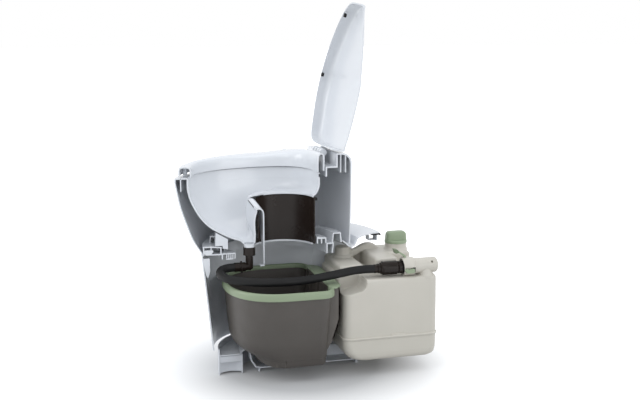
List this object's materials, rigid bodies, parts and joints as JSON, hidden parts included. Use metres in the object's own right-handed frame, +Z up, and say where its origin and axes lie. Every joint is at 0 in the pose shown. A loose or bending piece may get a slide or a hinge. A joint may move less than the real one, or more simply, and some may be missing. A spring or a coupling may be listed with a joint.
{
  "type": "composting toilet",
  "caption": "Sectioned display model of a separating toilet: half shells, lid up, solids bin, urine canister and drain hose.",
  "frame": {"origin": "middle of the overall box at floor level", "axes": "+X towards the back, where the canister slides out; +Y away from the cut face; +Z up"},
  "size_m": [0.5574, 0.3244, 0.8],
  "materials": {
    "white_plastic": "gloss moulded plastic",
    "brown_plastic": "gloss dark brown plastic",
    "green_plastic": "satin sage green plastic",
    "bin_plastic": "fine-grained dark grey-brown plastic",
    "beige_plastic": "satin blow-moulded plastic",
    "black_rubber": "satin black rubber"
  },
  "bodies": {
    "housing": {"base_tray": "white_plastic", "base_shell": "white_plastic", "ring_cover": "white_plastic", "ring_bracket": "white_plastic", "bowl_support": "white_plastic", "glide_ring": "white_plastic", "console": "white_plastic", "console_seal": "black_rubber", "console_clip": "white_plastic", "upper_shell": "white_plastic", "bowl": "white_plastic", "chute": "brown_plastic", "chute_seal": "black_rubber", "screen_backing": "brown_plastic", "screen_pin": "white_plastic", "rear_deck": "white_plastic", "hinge_pin": "white_plastic", "collar_nut": "brown_plastic", "hose_elbow": "brown_plastic", "elbow_clip": "brown_plastic", "hose": "black_rubber", "hose_plug": "brown_plastic", "plug_seal": "black_rubber", "bin": "bin_plastic", "bin_rim": "green_plastic"},
    "seat": {"seat_ring": "white_plastic", "seat_arm": "white_plastic", "seat_buffers": "black_rubber"},
    "lid": {"lid": "white_plastic", "lid_arm": "white_plastic", "lid_buffers": "black_rubber"},
    "screen": {"screen_flap": "white_plastic"},
    "canister": {"canister": "beige_plastic", "inlet_pipe": "beige_plastic", "inlet_collar": "beige_plastic"},
    "cap": {"canister_cap": "green_plastic"},
    "top_latch": {"top_latch": "green_plastic"},
    "side_latch": {"side_latch": "green_plastic"}
  },
  "joints": [
    {"name": "lid_hinge", "type": "hinge", "parent": "housing", "child": "lid", "pos_m": [0.0558, 0.05725, 0.4755], "axis": [0, 1, 0], "range_deg": [-101, 0]},
    {"name": "seat_hinge", "type": "hinge", "parent": "housing", "child": "seat", "pos_m": [0.0558, 0.03725, 0.4755], "axis": [0, 1, 0], "range_deg": [0, 95]},
    {"name": "screen_hinge", "type": "hinge", "parent": "housing", "child": "screen", "pos_m": [-0.1057, -0.00675, 0.3648], "axis": [0, -1, 0], "range_deg": [0, 70]},
    {"name": "canister_slide", "type": "slide", "parent": "housing", "child": "canister", "axis": [1, 0, 0], "range_m": [0, 0.35]},
    {"name": "cap_turn", "type": "hinge", "parent": "canister", "child": "cap", "pos_m": [0.2263, 0.01125, 0.26], "axis": [0, 0, 1], "continuous": true},
    {"name": "top_latch_pivot", "type": "hinge", "parent": "canister", "child": "top_latch", "pos_m": [0.2039, -0.10675, 0.2599], "axis": [0, 1, 0], "range_deg": [-35, 0]},
    {"name": "side_latch_pivot", "type": "hinge", "parent": "canister", "child": "side_latch", "pos_m": [0.2123, -0.13065, 0.236], "axis": [0, 0, 1], "range_deg": [0, 25]}
  ]
}
